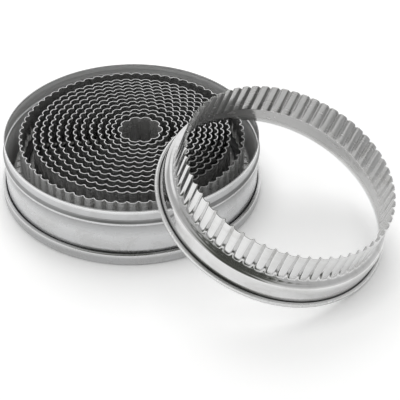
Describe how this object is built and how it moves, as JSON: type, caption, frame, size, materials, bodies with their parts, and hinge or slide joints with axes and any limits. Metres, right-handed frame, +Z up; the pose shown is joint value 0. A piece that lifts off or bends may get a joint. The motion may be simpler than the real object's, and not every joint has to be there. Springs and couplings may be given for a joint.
{
  "type": "biscuit cutter set",
  "caption": "Nest of fluted round biscuit cutters standing in a tin on its upturned lid, one cutter leaning out on the rim.",
  "frame": {"origin": "centre of the lid's flat underside, on the table", "axes": "+Z up, along the tin's axis; the loose cutter leans out towards +X and -Y"},
  "size_m": [0.1946, 0.172, 0.0658],
  "materials": {
    "lid": "bright rolled tinplate",
    "tin_wall": "bright rolled tinplate",
    "tin_floor": "bright rolled tinplate",
    "cutter": "bright rolled steel, cut edges brighter"
  },
  "bodies": {
    "lid": {"lid": "lid"},
    "tin": {"tin_wall": "tin_wall", "tin_floor": "tin_floor"},
    "cutter_01": {"cutter_01": "cutter"},
    "cutter_02": {"cutter_02": "cutter"},
    "cutter_03": {"cutter_03": "cutter"},
    "cutter_04": {"cutter_04": "cutter"},
    "cutter_05": {"cutter_05": "cutter"},
    "cutter_06": {"cutter_06": "cutter"},
    "cutter_07": {"cutter_07": "cutter"},
    "cutter_08": {"cutter_08": "cutter"},
    "cutter_09": {"cutter_09": "cutter"},
    "cutter_10": {"cutter_10": "cutter"},
    "cutter_11": {"cutter_11": "cutter"},
    "cutter_12": {"cutter_12": "cutter"},
    "cutter_13": {"cutter_13": "cutter"},
    "cutter_14": {"cutter_14": "cutter"}
  },
  "joints": [
    {"name": "tin_lift", "type": "slide", "parent": "lid", "child": "tin", "axis": [0, 0, 1], "range_m": [0, 0.05]},
    {"name": "cutter_13_lift", "type": "slide", "parent": "tin", "child": "cutter_13", "axis": [0, 0, 1], "range_m": [0, 0.48]},
    {"name": "cutter_01_lift", "type": "slide", "parent": "tin", "child": "cutter_01", "axis": [0, 0, 1], "range_m": [0, 0.036]},
    {"name": "cutter_02_lift", "type": "slide", "parent": "tin", "child": "cutter_02", "axis": [0, 0, 1], "range_m": [0, 0.069]},
    {"name": "cutter_03_lift", "type": "slide", "parent": "tin", "child": "cutter_03", "axis": [0, 0, 1], "range_m": [0, 0.102]},
    {"name": "cutter_04_lift", "type": "slide", "parent": "tin", "child": "cutter_04", "axis": [0, 0, 1], "range_m": [0, 0.135]},
    {"name": "cutter_05_lift", "type": "slide", "parent": "tin", "child": "cutter_05", "axis": [0, 0, 1], "range_m": [0, 0.168]},
    {"name": "cutter_06_lift", "type": "slide", "parent": "tin", "child": "cutter_06", "axis": [0, 0, 1], "range_m": [0, 0.201]},
    {"name": "cutter_07_lift", "type": "slide", "parent": "tin", "child": "cutter_07", "axis": [0, 0, 1], "range_m": [0, 0.234]},
    {"name": "cutter_08_lift", "type": "slide", "parent": "tin", "child": "cutter_08", "axis": [0, 0, 1], "range_m": [0, 0.267]},
    {"name": "cutter_09_lift", "type": "slide", "parent": "tin", "child": "cutter_09", "axis": [0, 0, 1], "range_m": [0, 0.3]},
    {"name": "cutter_10_lift", "type": "slide", "parent": "tin", "child": "cutter_10", "axis": [0, 0, 1], "range_m": [0, 0.333]},
    {"name": "cutter_11_lift", "type": "slide", "parent": "tin", "child": "cutter_11", "axis": [0, 0, 1], "range_m": [0, 0.366]},
    {"name": "cutter_12_lift", "type": "slide", "parent": "tin", "child": "cutter_12", "axis": [0, 0, 1], "range_m": [0, 0.399]},
    {"name": "cutter_14_lift", "type": "slide", "parent": "tin", "child": "cutter_14", "axis": [0, 0, 1], "range_m": [0, 0.432]}
  ],
  "couplings": [
    {"joint": "cutter_01_lift", "follows": "cutter_13_lift", "ratio": 0.075},
    {"joint": "cutter_02_lift", "follows": "cutter_13_lift", "ratio": 0.14375},
    {"joint": "cutter_03_lift", "follows": "cutter_13_lift", "ratio": 0.2125},
    {"joint": "cutter_04_lift", "follows": "cutter_13_lift", "ratio": 0.28125},
    {"joint": "cutter_05_lift", "follows": "cutter_13_lift", "ratio": 0.35},
    {"joint": "cutter_06_lift", "follows": "cutter_13_lift", "ratio": 0.41875},
    {"joint": "cutter_07_lift", "follows": "cutter_13_lift", "ratio": 0.4875},
    {"joint": "cutter_08_lift", "follows": "cutter_13_lift", "ratio": 0.55625},
    {"joint": "cutter_09_lift", "follows": "cutter_13_lift", "ratio": 0.625},
    {"joint": "cutter_10_lift", "follows": "cutter_13_lift", "ratio": 0.69375},
    {"joint": "cutter_11_lift", "follows": "cutter_13_lift", "ratio": 0.7625},
    {"joint": "cutter_12_lift", "follows": "cutter_13_lift", "ratio": 0.83125},
    {"joint": "cutter_14_lift", "follows": "cutter_13_lift", "ratio": 0.9}
  ]
}
